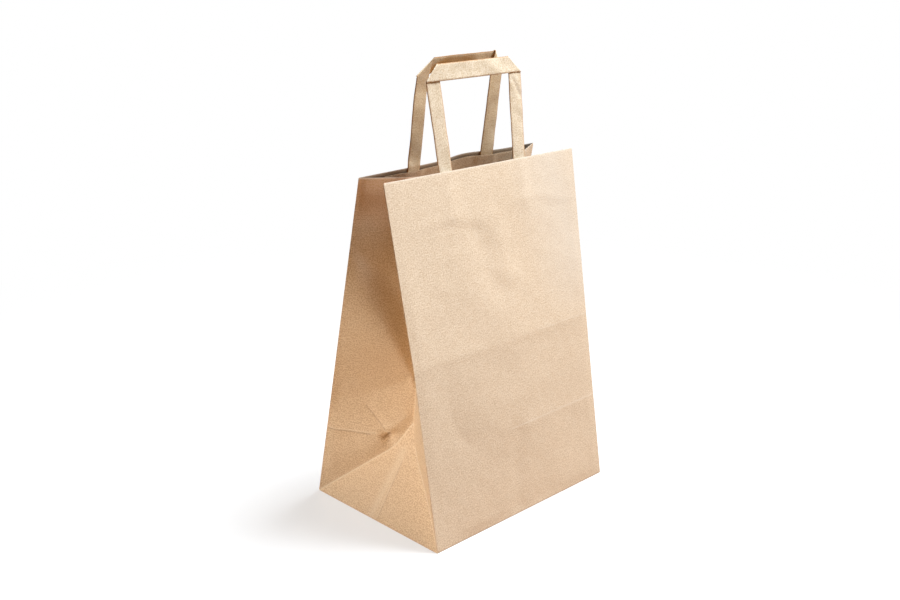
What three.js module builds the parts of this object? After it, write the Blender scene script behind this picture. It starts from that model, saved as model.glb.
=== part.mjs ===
// A plain kraft paper bag with a block bottom, folded-in sides and two flat paper handles.
// Millimetres, +Z up. The origin is the middle of the base, the front panel faces -Y.
// Every piece is a folded sheet: flat facets joined along their folds, then given the sheet's thickness.

import * as THREE from 'three';
import { ParametricGeometry } from 'three/addons/geometries/ParametricGeometry.js';
import { mergeGeometries, mergeVertices } from 'three/addons/utils/BufferGeometryUtils.js';

// The bag's sheet
const bagWidth = 220;
const bagDepth = 160;
const panelLength = 315;
const paperThickness = 0.15;

// How far each corner of the mouth stands from the bag's middle plane
const mouthFrontLeft = 16.3;
const mouthFrontRight = 28.1;
const mouthBackLeft = 14.4;
const mouthBackRight = 19;

// The front panel's left edge bows out where the upper cross fold meets it
const frontLeftBow = 4;

// The handles' strip
const stripWidth = 14.2;
const stripThickness = 0.6;
const foldGap = 0.4;

// Each handle: its lean, the spacing of its legs at the rim and at the fold, its height over the rim,
// the shift of its legs along the rim and the sway of its bar, as seen from outside the bag
const frontHandle = {
  leanDegrees: 8.3,
  legSpacing: 85.7,
  barSpacing: 93.5,
  height: 89.2,
  shift: -1.2,
  sway: -0.5,
};
const rearHandle = {
  leanDegrees: 6,
  legSpacing: 93,
  barSpacing: 93,
  height: 91.8,
  shift: 1.3,
  sway: -2,
};

// The pasted patches that hold the legs to the panels
const patchHeight = 42;
const patchThickness = 0.2;
const patchDrop = 3.5;
const patchSideMargin = 26;
const patchLowerMargin = 7;
const patchRamp = 6;
const patchLegClearance = 1;
const pasteGap = 0.3;

// How finely the facets are divided
const panelDivisions = 6;
const stripDivisions = 2;

const kraftColour = 0xe6cfb2;
const kraftInsideColour = 0xdcc2a2;

// A facet between four corners, given counter-clockwise as seen from its outer side.
function facet(corners, divisions) {
  const [a, b, c, d] = corners;
  const lower = new THREE.Vector3();
  const upper = new THREE.Vector3();
  const place = (u, v, target) => {
    lower.lerpVectors(a, b, u);
    upper.lerpVectors(d, c, u);
    target.lerpVectors(lower, upper, v);
  };
  return new ParametricGeometry(place, divisions, divisions);
}

// The step that puts a vertex one thickness behind every face that meets there.
function insetStep(normals, thickness) {
  const passes = 60;
  const step = new THREE.Vector3();
  for (let pass = 0; pass < passes; pass += 1) {
    for (const normal of normals) {
      step.addScaledVector(normal, -thickness - normal.dot(step));
    }
  }
  return step;
}

// Joins facets along their shared edges and gives the sheet its thickness, laid on the inner side.
function foldedSheet(facets, divisions, thickness) {
  const patches = facets.map((corners) => facet(corners, divisions));
  for (const patch of patches) {
    patch.deleteAttribute('normal');
    patch.deleteAttribute('uv');
  }
  const mergeTolerance = 1e-3;
  const joined = mergeVertices(mergeGeometries(patches), mergeTolerance);
  const position = joined.getAttribute('position');
  const index = joined.getIndex();
  const count = position.count;

  const outer = [];
  const normals = [];
  for (let i = 0; i < count; i += 1) {
    outer.push(new THREE.Vector3().fromBufferAttribute(position, i));
    normals.push([]);
  }

  const triangles = [];
  const edges = new Set();
  for (let i = 0; i < index.count; i += 3) {
    const corners = [index.getX(i), index.getX(i + 1), index.getX(i + 2)];
    if (new Set(corners).size === corners.length) {
      const [a, b, c] = corners;
      const normal = new THREE.Triangle(outer[a], outer[b], outer[c]).getNormal(new THREE.Vector3());
      corners.forEach((corner) => normals[corner].push(normal));
      triangles.push(corners);
      edges.add(`${a} ${b}`).add(`${b} ${c}`).add(`${c} ${a}`);
    }
  }

  const faces = [];
  for (const [a, b, c] of triangles) {
    faces.push(a, b, c);
    faces.push(c + count, b + count, a + count);
    for (const [from, to] of [[a, b], [b, c], [c, a]]) {
      if (!edges.has(`${to} ${from}`)) {
        faces.push(to, from, from + count);
        faces.push(to, from + count, to + count);
      }
    }
  }

  const inner = outer.map((corner, i) => corner.clone().add(insetStep(normals[i], thickness)));
  const solid = new THREE.BufferGeometry().setFromPoints([...outer, ...inner]);
  solid.setIndex(faces);
  solid.computeVertexNormals();
  return solid;
}

// The point at given distances from three centres, on the side of the given inner point.
function pointAtDistances(centres, distances, innerPoint) {
  const [a, b, c] = centres;
  const [fromA, fromB, fromC] = distances;
  const along = new THREE.Vector3().subVectors(b, a);
  const span = along.length();
  along.normalize();
  const toC = new THREE.Vector3().subVectors(c, a);
  const cAlong = along.dot(toC);
  const across = toC.clone().addScaledVector(along, -cAlong).normalize();
  const cAcross = across.dot(toC);
  const normal = new THREE.Vector3().crossVectors(along, across);
  const x = (fromA ** 2 - fromB ** 2 + span ** 2) / (2 * span);
  const y = (fromA ** 2 - fromC ** 2 + cAlong ** 2 + cAcross ** 2 - 2 * cAlong * x) / (2 * cAcross);
  const z = Math.sqrt(fromA ** 2 - x ** 2 - y ** 2);
  const foot = a.clone().addScaledVector(along, x).addScaledVector(across, y);
  const side = Math.sign(normal.dot(new THREE.Vector3().subVectors(innerPoint, foot)));
  return foot.addScaledVector(normal, side * z);
}

// One upright fold of the sheet: its points at the base, at the two cross folds and at the rim.
function uprightFold(x, y, mouthOffset, bow) {
  const facing = Math.sign(y);
  const inset = Math.abs(y) - mouthOffset;
  const base = new THREE.Vector3(x, y, 0);
  const rim = new THREE.Vector3(x, facing * mouthOffset, Math.sqrt(panelLength ** 2 - inset ** 2));
  const at = (height, out) => {
    const point = new THREE.Vector3().lerpVectors(base, rim, height / panelLength);
    return point.setY(point.y + facing * out);
  };
  return [base, at(lowerFold, bow * (lowerFold / upperFold)), at(upperFold, bow), rim];
}

// A side's folded-in gusset: the base triangle's tip and the crease that runs up from it.
function gussetCrease(front, back) {
  const diagonal = Math.hypot(bagDepth / 2, lowerFold);
  const half = bagDepth / 2;
  const tip = pointAtDistances([front[0], back[0], front[1]], [diagonal, diagonal, half], bagMiddle);
  const knee = pointAtDistances([front[2], back[2], tip], [half, half, upperFold - lowerFold], bagMiddle);
  const top = pointAtDistances([front[3], back[3], knee], [half, half, panelLength - upperFold], bagMiddle);
  return [tip, knee, top];
}

// The panel between two upright folds, left and right as seen from outside.
function panelFacets(left, right) {
  return [0, 1, 2].map((row) => [left[row], right[row], right[row + 1], left[row + 1]]);
}

// The gusset between two upright folds, left and right as seen from outside.
function gussetFacets(left, right, crease) {
  const [tip, knee, top] = crease;
  return [
    [left[0], right[0], tip, tip],
    [left[0], tip, left[1], left[1]],
    [right[0], right[1], tip, tip],
    [left[1], tip, knee, left[2]],
    [tip, right[1], right[2], knee],
    [left[2], knee, top, left[3]],
    [knee, right[2], right[3], top],
  ];
}

// Places on a panel's upper part: along the rim from its left corner, below the rim, and inside the sheet.
function panelSurface(left, right) {
  const [lowerLeft, upperLeft] = left.slice(2);
  const [lowerRight, upperRight] = right.slice(2);
  const along = new THREE.Vector3().subVectors(upperRight, upperLeft);
  const rimLength = along.length();
  along.normalize();
  const reach = panelLength - upperFold;
  return {
    along,
    middle: rimLength / 2,
    place(distance, depth, standoff) {
      const u = distance / rimLength;
      const v = 1 - depth / reach;
      const low = new THREE.Vector3().lerpVectors(lowerLeft, lowerRight, u);
      const high = new THREE.Vector3().lerpVectors(upperLeft, upperRight, u);
      const up = new THREE.Vector3().subVectors(high, low);
      const outward = new THREE.Vector3().crossVectors(along, up).normalize();
      return low.lerp(high, v).addScaledVector(outward, -standoff);
    },
  };
}

// The directions of a handle's free part: up along its legs and out from the bag.
function handleDirections(panel, leanDegrees) {
  const lean = THREE.MathUtils.degToRad(leanDegrees);
  const upright = new THREE.Vector3(0, 0, 1);
  const inward = new THREE.Vector3().crossVectors(upright, panel.along).normalize();
  const up = upright.multiplyScalar(Math.cos(lean)).addScaledVector(inward, Math.sin(lean));
  up.addScaledVector(panel.along, -panel.along.dot(up)).normalize();
  return { up, outward: new THREE.Vector3().crossVectors(panel.along, up) };
}

// A handle: one strip that runs up, folds over at 45 degrees into the bar, and folds down again.
// Its legs lie inside the panel, and its bar lies on their outer side.
function handleFacets(panel, handle) {
  const { up, outward } = handleDirections(panel, handle.leanDegrees);
  const legMiddle = panel.middle + handle.shift;
  const barMiddle = legMiddle + handle.sway;
  const shoulder = handle.height - stripWidth;
  const layerPitch = 2 * stripThickness + foldGap;
  const free = (distance, rise, layer) => {
    const foot = panel.place(distance, 0, legStandoff);
    return foot.addScaledVector(up, rise).addScaledVector(outward, layer);
  };

  const facets = [];
  const barEnds = [];
  for (const side of [-1, 1]) {
    const legOuter = legMiddle + side * (handle.legSpacing + stripWidth) / 2;
    const legInner = legOuter - side * stripWidth;
    const barOuter = barMiddle + side * (handle.barSpacing + stripWidth) / 2;
    const barInner = barOuter - side * stripWidth;
    const tucked = [legInner, legOuter].map((distance) => panel.place(distance, legTuck, legStandoff));
    const rim = [legInner, legOuter].map((distance) => panel.place(distance, 0, legStandoff));
    const fold = [free(barInner, handle.height, 0), free(barOuter, shoulder, 0)];
    const bar = [free(barInner, handle.height, layerPitch), free(barOuter, shoulder, layerPitch)];
    const bands = [
      [tucked[0], tucked[1], rim[1], rim[0]],
      [rim[0], rim[1], fold[1], fold[0]],
      [fold[0], fold[1], bar[1], bar[0]],
    ];
    facets.push(...bands.map((corners) => (side < 0 ? corners : corners.reverse())));
    barEnds.push(bar);
  }
  const [leftEnd, rightEnd] = barEnds;
  facets.push([leftEnd[1], rightEnd[1], rightEnd[0], leftEnd[0]]);
  return facets;
}

// A patch: a sheet pasted to the panel's inside that rises over the two legs.
function patchFacets(panel, handle) {
  const middle = panel.middle + handle.shift;
  const low = paperThickness + pasteGap + patchThickness;
  const high = legStandoff + pasteGap + patchThickness;
  const legEdge = (handle.legSpacing + stripWidth) / 2;
  const legGap = (handle.legSpacing - stripWidth) / 2;
  const half = [
    [legEdge + patchSideMargin, low],
    [legEdge + patchLegClearance + patchRamp, low],
    [legEdge + patchLegClearance, high],
    [legGap - patchLegClearance, high],
    [legGap - patchLegClearance - patchRamp, low],
  ];
  const otherHalf = half.map(([distance, standoff]) => [-distance, standoff]).reverse();
  const stations = [...half, ...otherHalf];
  const facets = [];
  for (let i = 1; i < stations.length; i += 1) {
    const [right, left] = [stations[i - 1], stations[i]];
    const at = ([distance, standoff], depth) => panel.place(middle + distance, depth, standoff);
    const bottom = patchDrop + patchHeight;
    facets.push([at(right, bottom), at(left, bottom), at(left, patchDrop), at(right, patchDrop)]);
  }
  return facets;
}

function sheetMesh(name, geometry, color) {
  const material = new THREE.MeshStandardMaterial({ color, roughness: 0.85, metalness: 0 });
  const mesh = new THREE.Mesh(geometry, material);
  mesh.name = name;
  return mesh;
}

// The cross folds of a block bottom lie at half the depth and at the whole depth
const lowerFold = bagDepth / 2;
const upperFold = bagDepth;
const bagMiddle = new THREE.Vector3(0, 0, upperFold);

// Where the legs lie inside the panels
const legStandoff = paperThickness + pasteGap + stripThickness;
const legTuck = patchDrop + patchHeight - patchLowerMargin;

const frontLeft = uprightFold(-bagWidth / 2, -bagDepth / 2, mouthFrontLeft, frontLeftBow);
const frontRight = uprightFold(bagWidth / 2, -bagDepth / 2, mouthFrontRight, 0);
const backRight = uprightFold(bagWidth / 2, bagDepth / 2, mouthBackRight, 0);
const backLeft = uprightFold(-bagWidth / 2, bagDepth / 2, mouthBackLeft, 0);

const bodyFacets = [
  [frontLeft[0], backLeft[0], backRight[0], frontRight[0]],
  ...panelFacets(frontLeft, frontRight),
  ...panelFacets(backRight, backLeft),
  ...gussetFacets(backLeft, frontLeft, gussetCrease(frontLeft, backLeft)),
  ...gussetFacets(frontRight, backRight, gussetCrease(frontRight, backRight)),
];
const frontPanel = panelSurface(frontLeft, frontRight);
const backPanel = panelSurface(backRight, backLeft);

const strip = (panel, handle) => foldedSheet(handleFacets(panel, handle), stripDivisions, stripThickness);
const patch = (panel, handle) => foldedSheet(patchFacets(panel, handle), stripDivisions, patchThickness);

const bag = new THREE.Group();
bag.add(sheetMesh('bag_body', foldedSheet(bodyFacets, panelDivisions, paperThickness), kraftColour));
bag.add(sheetMesh('front_handle', strip(frontPanel, frontHandle), kraftColour));
bag.add(sheetMesh('rear_handle', strip(backPanel, rearHandle), kraftColour));
bag.add(sheetMesh('front_handle_patch', patch(frontPanel, frontHandle), kraftInsideColour));
bag.add(sheetMesh('rear_handle_patch', patch(backPanel, rearHandle), kraftInsideColour));

export default bag;
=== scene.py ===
# %% [markdown]
# # A kraft paper bag with flat handles
# The bag is one folded sheet of brown paper, with two flat strip handles and the two patches that
# paste them in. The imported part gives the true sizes. This lesson gives each sheet its soft bends,
# dents and paper finish, and then sets the light and the camera.

import math

import bmesh
import bpy
from mathutils import Matrix, Vector, noise


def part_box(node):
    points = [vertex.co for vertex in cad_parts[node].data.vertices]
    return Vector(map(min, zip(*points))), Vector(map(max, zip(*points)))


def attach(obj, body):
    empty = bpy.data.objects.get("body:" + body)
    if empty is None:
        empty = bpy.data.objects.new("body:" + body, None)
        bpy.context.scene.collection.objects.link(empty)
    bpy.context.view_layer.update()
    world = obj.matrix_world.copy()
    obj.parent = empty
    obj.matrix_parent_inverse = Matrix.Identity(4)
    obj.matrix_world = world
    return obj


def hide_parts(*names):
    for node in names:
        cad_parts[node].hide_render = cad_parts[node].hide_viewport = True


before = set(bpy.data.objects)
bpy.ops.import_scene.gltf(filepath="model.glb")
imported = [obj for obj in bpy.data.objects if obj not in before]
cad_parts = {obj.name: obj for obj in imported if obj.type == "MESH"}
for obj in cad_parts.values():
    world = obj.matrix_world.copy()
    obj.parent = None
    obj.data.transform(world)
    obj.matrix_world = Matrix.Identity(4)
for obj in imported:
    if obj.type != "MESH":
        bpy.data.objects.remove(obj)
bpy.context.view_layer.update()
MM = 0.001

# %% [markdown]
# The camera stands where the photographer stood: in front of the bag's left corner, a little above it.
# Its place, turn and focal length come from fitting the bag's corners to the picture. A camera placed by
# eye would be quicker, but then no fold could be compared with the picture.

# %% Camera
IMAGE_WIDTH = 900
FOCAL_PIXELS = 1155.0
SENSOR_WIDTH = 36.0
CAMERA_PLACE = Vector((-707.96, -696.83, 508.72)) * MM
# Turns in radians
CAMERA_YAW = -0.78042
CAMERA_PITCH = 0.3181
CAMERA_ROLL = 0.00759

camera_data = bpy.data.cameras.new("photo_camera")
camera_data.sensor_width = SENSOR_WIDTH
camera_data.lens = FOCAL_PIXELS / IMAGE_WIDTH * SENSOR_WIDTH
camera = bpy.data.objects.new("photo_camera", camera_data)
bpy.context.scene.collection.objects.link(camera)
turn = Matrix.Rotation(CAMERA_YAW, 3, "Z")
tilt = Matrix.Rotation(math.pi / 2 - CAMERA_PITCH, 3, "X")
roll = Matrix.Rotation(CAMERA_ROLL, 3, "Z")
camera.location = CAMERA_PLACE
camera.rotation_euler = (turn @ tilt @ roll).to_euler()
bpy.context.scene.camera = camera
print("Lens in mm:", round(camera_data.lens, 2))

# %% [markdown]
# ## The folds
# A block-bottom bag is pasted flat, so its sheet has cross folds at half the depth and at the whole
# depth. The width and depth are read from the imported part, and the rest of the sheet follows from them.

# %% Sheet sizes
body_low, body_high = [Vector(corner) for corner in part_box("bag_body")]
BAG_WIDTH = body_high.x - body_low.x
BAG_DEPTH = body_high.y - body_low.y
HALF_DEPTH = BAG_DEPTH / 2
PANEL_LENGTH = 315 * MM
LOWER_FOLD = BAG_DEPTH / 2
UPPER_FOLD = BAG_DEPTH
FOLD_HEIGHTS = [0, LOWER_FOLD, UPPER_FOLD, PANEL_LENGTH]
# The places of these heights in the list above and in each upright fold
BASE, LOWER, UPPER, RIM = range(4)
left_edge = -BAG_WIDTH / 2
right_edge = BAG_WIDTH / 2
print("Fold heights in mm:", [round(height / MM, 1) for height in FOLD_HEIGHTS])

# %% [markdown]
# Four upright folds stand on the corners of the base and lean in to the mouth, which is uneven on the
# real bag. Each keeps the panel's length, so a fold that leans in more ends lower. The front left one
# bows out a little, as in the picture.

# %% Upright folds
MOUTH_FRONT_LEFT = 16.3 * MM
MOUTH_FRONT_RIGHT = 28.1 * MM
MOUTH_BACK_LEFT = 14.4 * MM
MOUTH_BACK_RIGHT = 19 * MM
FRONT_LEFT_BOW = 4 * MM


def upright_fold(x, y, mouth_offset, bow):
    """The points of one upright fold at the base, at the two cross folds and at the rim."""
    facing = math.copysign(1, y)
    inset = abs(y) - mouth_offset
    base = Vector((x, y, 0))
    rim = Vector((x, facing * mouth_offset, math.sqrt(PANEL_LENGTH ** 2 - inset ** 2)))
    lower = base.lerp(rim, LOWER_FOLD / PANEL_LENGTH)
    upper = base.lerp(rim, UPPER_FOLD / PANEL_LENGTH)
    lower.y += facing * bow * LOWER_FOLD / UPPER_FOLD
    upper.y += facing * bow
    return [base, lower, upper, rim]


front_left = upright_fold(left_edge, -HALF_DEPTH, MOUTH_FRONT_LEFT, FRONT_LEFT_BOW)
front_right = upright_fold(right_edge, -HALF_DEPTH, MOUTH_FRONT_RIGHT, 0)
back_left = upright_fold(left_edge, HALF_DEPTH, MOUTH_BACK_LEFT, 0)
back_right = upright_fold(right_edge, HALF_DEPTH, MOUTH_BACK_RIGHT, 0)
print("Front left rim in mm:", [round(value / MM, 1) for value in front_left[RIM]])

# %% [markdown]
# Each side is folded in along a middle crease. Paper doesn't stretch: once the upright folds are placed,
# the points of the crease follow from fixed distances, as in origami. They could be pushed about by hand,
# but then the sides would be too long or too short for the sheet.

# %% Creases of the sides
BAG_MIDDLE = Vector((0, 0, UPPER_FOLD))


def point_at_distances(centres, distances, inner_point):
    """The point at given distances from three centres, on the side of the inner point."""
    a, b, c = centres
    from_a, from_b, from_c = distances
    along = (b - a).normalized()
    span = (b - a).length
    c_along = along.dot(c - a)
    across = (c - a - along * c_along).normalized()
    c_across = across.dot(c - a)
    x = (from_a ** 2 - from_b ** 2 + span ** 2) / (2 * span)
    y = (from_a ** 2 - from_c ** 2 + c_along ** 2 + c_across ** 2 - 2 * c_along * x) / (2 * c_across)
    z = math.sqrt(from_a ** 2 - x ** 2 - y ** 2)
    foot = a + along * x + across * y
    normal = along.cross(across)
    return foot + normal * math.copysign(z, normal.dot(inner_point - foot))


def gusset_crease(front, back):
    """The tip of the base triangle, the knee and the top of a side's middle crease."""
    diagonal = math.hypot(HALF_DEPTH, LOWER_FOLD)
    centres = [front[BASE], back[BASE], front[LOWER]]
    tip = point_at_distances(centres, [diagonal, diagonal, HALF_DEPTH], BAG_MIDDLE)
    centres = [front[UPPER], back[UPPER], tip]
    knee = point_at_distances(centres, [HALF_DEPTH, HALF_DEPTH, UPPER_FOLD - LOWER_FOLD], BAG_MIDDLE)
    centres = [front[RIM], back[RIM], knee]
    top = point_at_distances(centres, [HALF_DEPTH, HALF_DEPTH, PANEL_LENGTH - UPPER_FOLD], BAG_MIDDLE)
    return [tip, knee, top]


left_crease = gusset_crease(front_left, back_left)
right_crease = gusset_crease(front_right, back_right)
print("Left gusset tip in mm:", [round(value / MM, 1) for value in left_crease[0]])

# %% [markdown]
# ## From a box to a folded sheet
# The sheet starts as an open box with straight walls, because a box is easy to divide evenly. Each of
# its points then moves to its folded place. A panel lies between two upright folds, so a place on it is
# a mix of two places on its folds.


# %% Places on folds and panels
def place_on_fold(fold, height):
    """The point at a height along one upright fold."""
    part = next((i for i in (LOWER, UPPER) if height <= FOLD_HEIGHTS[i]), RIM)
    below = FOLD_HEIGHTS[part - 1]
    share = (height - below) / (FOLD_HEIGHTS[part] - below)
    return fold[part - 1].lerp(fold[part], share)


def place_on_panel(left, right, across, height):
    """A point of a flat panel, across as a share of its width."""
    return place_on_fold(left, height).lerp(place_on_fold(right, height), across)


panel_middle = place_on_panel(front_left, front_right, 0.5, UPPER_FOLD)
print("Middle of the front's upper fold in mm:", [round(value / MM, 1) for value in panel_middle])

# %% [markdown]
# A side has its base triangle, two corner triangles and two halves that run from the upright folds to
# the middle crease. Flat triangles would give a hard kink at the crease's knee. Paper curves there, so
# the crease is one smooth curve through tip, knee and top.

# %% Places on the sides
LEFT_CREASE_LEAN = 9 * MM
RIGHT_CREASE_LEAN = -8 * MM
# The lean is whole from this share of the crease upwards
LEAN_END = 0.5
CREASE_PULL = 6 * MM


def eased(share):
    """A share from 0 to 1 that starts and ends softly."""
    share = min(1, max(0, share))
    return share * share * (3 - 2 * share)


def place_on_crease(crease, height):
    """The point at a height along a side's middle crease. The open bag's left crease leans to the back
    and its right one to the front, and both stand a little out of the sides."""
    tip, knee, top = crease
    knee_share = (UPPER_FOLD - LOWER_FOLD) / (PANEL_LENGTH - LOWER_FOLD)
    pull = (knee - tip * (1 - knee_share) ** 2 - top * knee_share ** 2) / (2 * knee_share * (1 - knee_share))
    share = (height - LOWER_FOLD) / (PANEL_LENGTH - LOWER_FOLD)
    place = tip * (1 - share) ** 2 + pull * 2 * share * (1 - share) + top * share ** 2
    farthest = LEFT_CREASE_LEAN if tip.x < 0 else RIGHT_CREASE_LEAN
    place.y += farthest * eased(share / LEAN_END)
    place.x += math.copysign(CREASE_PULL, tip.x) * 4 * share * (1 - share)
    return place


def place_on_gusset(front, back, crease, from_front, height):
    """A point of a folded-in side, measured from its front upright fold."""
    tip = crease[0]
    near_front = from_front <= HALF_DEPTH
    fold = front if near_front else back
    near = from_front if near_front else BAG_DEPTH - from_front
    if height <= near:
        tip_weight = height / LOWER_FOLD
        skew = (from_front - HALF_DEPTH) / HALF_DEPTH
        front_weight = (1 - tip_weight - skew) / 2
        back_weight = (1 - tip_weight + skew) / 2
        return front[BASE] * front_weight + back[BASE] * back_weight + tip * tip_weight
    if height <= LOWER_FOLD:
        tip_weight = near / HALF_DEPTH
        upper_weight = (height - near) / LOWER_FOLD
        return fold[BASE] * (1 - height / LOWER_FOLD) + fold[LOWER] * upper_weight + tip * tip_weight
    return place_on_fold(fold, height).lerp(place_on_crease(crease, height), near / HALF_DEPTH)


left_top = place_on_crease(left_crease, PANEL_LENGTH)
print("Top of the left crease in mm:", [round(value / MM, 1) for value in left_top])

# %% [markdown]
# The box is cut into squares of 2.5 mm, small enough to take a dent or a crease. Subdividing the edges of
# one direction at a time keeps the squares even. A Subdivision Surface modifier would round the folds
# away, and one cut number for all edges would leave uneven faces.

# %% Divide a box evenly
GRID = 2.5 * MM
# Directions with a cosine above this count as the same
ALIGNED = 0.9


def divide_edges(bm, direction, low, high, spacing):
    """Divides the edges that run along a direction between two heights."""
    chosen = []
    for edge in bm.edges:
        run = edge.verts[1].co - edge.verts[0].co
        middle = (edge.verts[0].co + edge.verts[1].co) / 2
        if abs(run.normalized().dot(direction)) > ALIGNED and low <= middle.z <= high:
            chosen.append(edge)
    cuts = round(chosen[0].calc_length() / spacing) - 1
    bmesh.ops.subdivide_edges(bm, edges=chosen, cuts=cuts, use_grid_fill=True)


sheet = bmesh.new()
bmesh.ops.create_cube(sheet, size=1)
bmesh.ops.scale(sheet, vec=(BAG_WIDTH, BAG_DEPTH, PANEL_LENGTH), verts=sheet.verts)
bmesh.ops.translate(sheet, vec=(0, 0, PANEL_LENGTH / 2), verts=sheet.verts)
mouth_face = max(sheet.faces, key=lambda face: face.calc_center_median().z)
bmesh.ops.delete(sheet, geom=[mouth_face], context="FACES_ONLY")
everything = sheet.verts[:] + sheet.edges[:] + sheet.faces[:]
bmesh.ops.bisect_plane(sheet, geom=everything, plane_co=(0, 0, UPPER_FOLD), plane_no=(0, 0, 1))
divide_edges(sheet, Vector((1, 0, 0)), 0, PANEL_LENGTH, GRID)
divide_edges(sheet, Vector((0, 0, 1)), 0, UPPER_FOLD, GRID)
divide_edges(sheet, Vector((0, 0, 1)), UPPER_FOLD, PANEL_LENGTH, GRID)
divide_edges(sheet, Vector((0, 1, 0)), 0, PANEL_LENGTH, GRID)
print("Sheet faces:", len(sheet.faces))

# %% [markdown]
# The base triangle of a side is bounded by two diagonal folds. They run across the squares, so each
# corner of a side is bisected along its diagonal: only a real edge can be folded.

# %% Cut the diagonal folds
TOUCH = 0.01 * MM
for facing in (-1, 1):
    corner_faces = []
    for face in sheet.faces:
        middle = face.calc_center_median()
        on_side = abs(face.normal.x) > ALIGNED
        if on_side and middle.z < LOWER_FOLD and middle.y * facing > 0:
            corner_faces.append(face)
    corner_edges = {edge for face in corner_faces for edge in face.edges}
    corner_verts = {vert for face in corner_faces for vert in face.verts}
    bmesh.ops.bisect_plane(
        sheet,
        geom=[*corner_verts, *corner_edges, *corner_faces],
        dist=TOUCH,
        plane_co=(0, facing * HALF_DEPTH, 0),
        plane_no=(0, facing, 1),
    )
print("Sheet faces with the diagonals cut:", len(sheet.faces))

# %% [markdown]
# A UV map keeps each point's place on the unrolled sheet, in metres. Paper grain and fold marks read it
# later, so they run round the folds as they do on real paper. An unwrap could make such a map too, but
# the box already knows each place.

# %% Unroll the sheet
unrolled = sheet.loops.layers.uv.new("sheet")
sheet.normal_update()


def unrolled_place(co, normal):
    """The place of a box point on the unrolled sheet."""
    if normal.z < -ALIGNED:
        return co.x - left_edge, -(co.y + HALF_DEPTH)
    if normal.y < -ALIGNED:
        return co.x - left_edge, co.z
    if normal.x > ALIGNED:
        return BAG_WIDTH + co.y + HALF_DEPTH, co.z
    if normal.y > ALIGNED:
        return BAG_WIDTH + BAG_DEPTH + right_edge - co.x, co.z
    return 2 * BAG_WIDTH + BAG_DEPTH + HALF_DEPTH - co.y, co.z


for face in sheet.faces:
    for loop in face.loops:
        loop[unrolled].uv = unrolled_place(loop.vert.co, face.normal)
print("Unrolled sheet is", round((2 * BAG_WIDTH + 2 * BAG_DEPTH) / MM), "mm round")

# %% [markdown]
# ## Dents, buckles and soft folds
# Used paper is never flat. Each mark here is a line on its panel, in millimetres along and up the panel,
# with a width and a height. A sharp mark rises to a crease, a soft one is rounded. Heights are outwards.
# A cloth simulation gives folds by chance. These marks lie where the real bag has them.

# %% Marks on the front panel
SHARP = "sharp"
SOFT = "soft"
FRONT_MARKS = [
    (SOFT, [(95, 300), (95, 120)], 75, 2.6),
    (SHARP, [(0, 160), (220, 160)], 48, 0.42),
    (SHARP, [(120, 160), (220, 160)], 15, 0.3),
    (SHARP, [(96, 80), (220, 80)], 16, 0.35),
    (SOFT, [(66, 318), (66, 278)], 7.5, 0.35),
    (SOFT, [(152, 318), (152, 278)], 7.5, 0.35),
    (SOFT, [(37, 275), (64, 276), (95, 268)], 4, 0.08),
    (SOFT, [(37, 268), (64, 269), (93, 260)], 4, -0.1),
    (SOFT, [(86, 258), (95, 242), (95, 222), (106, 208)], 11, -0.42),
    (SOFT, [(108, 266), (117, 248), (117, 226), (126, 214)], 11, 0.42),
    (SOFT, [(130, 277), (162, 280), (194, 276)], 4, 0.1),
    (SOFT, [(130, 269), (162, 272), (194, 268)], 4, -0.1),
    (SOFT, [(54, 268), (46, 228)], 5, -0.2),
    (SHARP, [(36, 151), (33, 120), (36, 100), (50, 82)], 13, -0.6),
    (SOFT, [(112, 74), (103, 9)], 9, -0.4),
    (SOFT, [(126, 74), (117, 9)], 9, 0.3),
]
print("Marks on the front panel:", len(FRONT_MARKS))

# %% [markdown]
# The left side has the deepest creases: a pinch near the tip of its base triangle, and folds that run
# away from it. The other halves and the back panel show little or nothing in the picture, so they get
# plain cross folds, which every bag of this kind has.

# %% Marks on the sides and the back
# Measured from the back upright fold of the left side
LEFT_BACK_MARKS = [
    (SOFT, [(10, 302), (80, 302)], 12, 0.8),
    (SHARP, [(0, 106), (20, 105), (40, 116), (76, 135)], 11, -2.0),
    (SHARP, [(0, 71), (39, 77), (57, 78)], 6, 2.4),
    (SHARP, [(34, 101), (58, 79)], 6, -1.6),
    (SHARP, [(60, 82), (70, 93), (80, 104)], 9, 2.6),
    (SOFT, [(10, 38), (40, 62)], 15, 2.2),
    (SOFT, [(42, 66), (50, 70)], 9, 1.6),
    (SOFT, [(58, 76), (62, 72)], 5, -5.5),
    (SOFT, [(57, 83), (60, 83)], 3.5, 2.2),
]
TRIANGLE_MARKS = [
    (SHARP, [(80, 0), (80, 72)], 26, -1.2),
]
GUSSET_MARKS = [
    (SHARP, [(0, 84), (42, 80), (80, 80)], 6, 0.8),
]
BACK_MARKS = [
    (SHARP, [(0, 160), (220, 160)], 34, 1.0),
    (SHARP, [(0, 80), (220, 80)], 16, 0.5),
    (SOFT, [(30, 276), (100, 274), (190, 277)], 5, 0.3),
    (SOFT, [(30, 267), (100, 264), (190, 268)], 5, -0.3),
    (SOFT, [(150, 60), (166, 120)], 7, -0.4),
]
# Between the legs the back panel's rim bends outwards, and runs out softly downwards
BACK_BULGES = [
    (SOFT, [(133, 330), (133, 295)], 27, 3.2),
    (SOFT, [(133, 330), (133, 225)], 31, 2.8),
]
print("Marks on the left side's back half:", len(LEFT_BACK_MARKS))

# %% [markdown]
# A mark lifts the paper most on its line and less with the distance from it. All marks of a panel add up,
# with a slow wave and a fine ripple of noise, as a sculptor would lay strokes over each other. At the
# folds the relief fades out, so that panels and sides still meet.

# %% How a mark lifts the paper
# In mm: where the relief fades at a fold, and the size of waves and ripples
FADE = 9
WAVE_LENGTH = 52
WAVE_HEIGHT = 0.6
RIPPLE_LENGTH = 13
RIPPLE_HEIGHT = 0.12


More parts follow.
